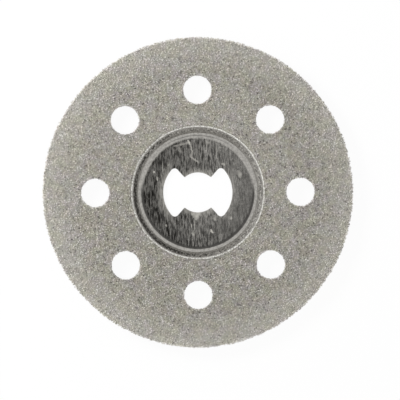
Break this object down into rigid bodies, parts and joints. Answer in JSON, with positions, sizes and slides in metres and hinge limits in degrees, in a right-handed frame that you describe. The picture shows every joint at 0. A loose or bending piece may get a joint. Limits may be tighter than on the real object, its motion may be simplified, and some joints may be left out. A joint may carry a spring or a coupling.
{
  "type": "diamond cutting disc",
  "caption": "Thin steel cutting disc with a diamond-grit coated ring, round cooling holes and a dished bare hub with a twist-lock drive hole.",
  "frame": {"origin": "centre of the hub's flat back face, the lowest plane of the disc", "axes": "+Z along the disc's axis, out of the dished front; the two lobes of the drive hole lie along X, and one cooling hole is on +X"},
  "size_m": [0.038, 0.038, 0.0017],
  "materials": {
    "plated_steel": "nickel plate filled with diamond grit on the ring, bare brushed steel in the hub"
  },
  "bodies": {
    "root": {"cutting_disc": "plated_steel"}
  },
  "joints": []
}
